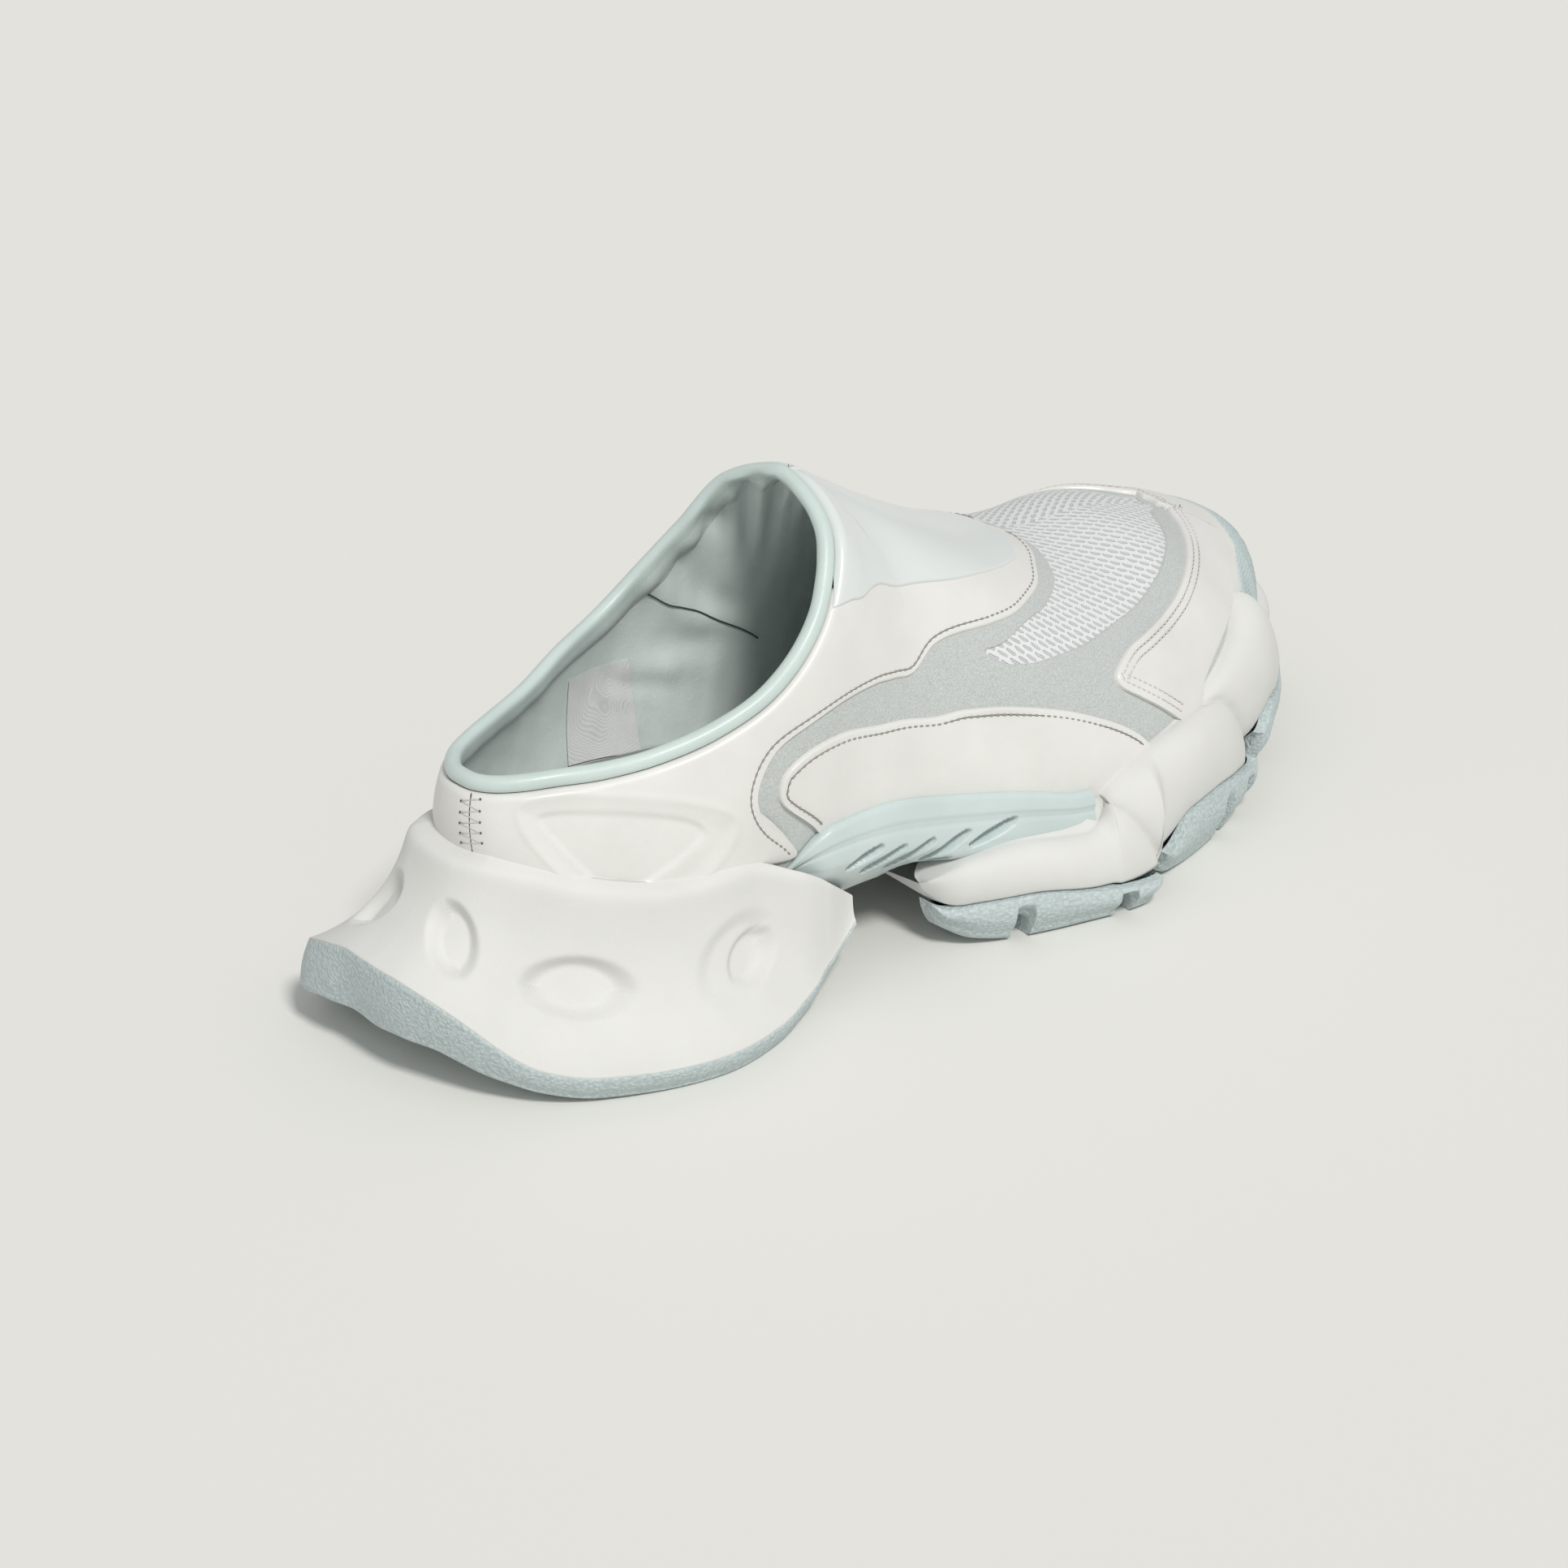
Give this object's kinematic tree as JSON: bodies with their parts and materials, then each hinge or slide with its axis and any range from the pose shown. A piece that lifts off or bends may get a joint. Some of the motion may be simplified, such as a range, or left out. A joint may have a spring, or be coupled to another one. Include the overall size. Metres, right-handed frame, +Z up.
{
  "type": "sneaker mule",
  "caption": "Backless slip-on sneaker with a hollow knit and leather upper, a flared bell-shaped heel sole, a bridge shank and a lobed forefoot sole on rubber pods.",
  "frame": {"origin": "On the floor plane under the middle of the shoe's box.", "axes": "+X from heel to toe, +Y to the inner side of this right shoe, +Z up."},
  "size_m": [0.3242, 0.1228, 0.1277],
  "materials": {
    "knit": "white knitted mesh",
    "leather": "smooth off-white",
    "binding": "soft satin mint grey",
    "insole": "matt textile",
    "foam": "fine-grained moulded foam",
    "rubber": "pebbled pale blue-grey",
    "shank": "satin moulded mint grey",
    "shield": "glossy mint white",
    "bumper": "ribbed"
  },
  "bodies": {
    "root": {"upper": "knit", "collar_roll": "binding", "insole": "insole", "heel_midsole": "foam", "heel_outsole": "rubber", "forefoot_midsole": "foam", "shank": "shank", "pod_outer_1": "rubber", "pod_outer_2": "rubber", "pod_outer_3": "rubber", "pod_inner_1": "rubber", "pod_inner_2": "rubber", "pod_inner_3": "rubber", "pod_toe": "rubber", "quarter": "leather", "side_panel_outer": "leather", "side_panel_inner": "leather", "toe_cap": "leather", "instep_shield": "shield", "toe_bumper": "bumper"}
  },
  "joints": []
}
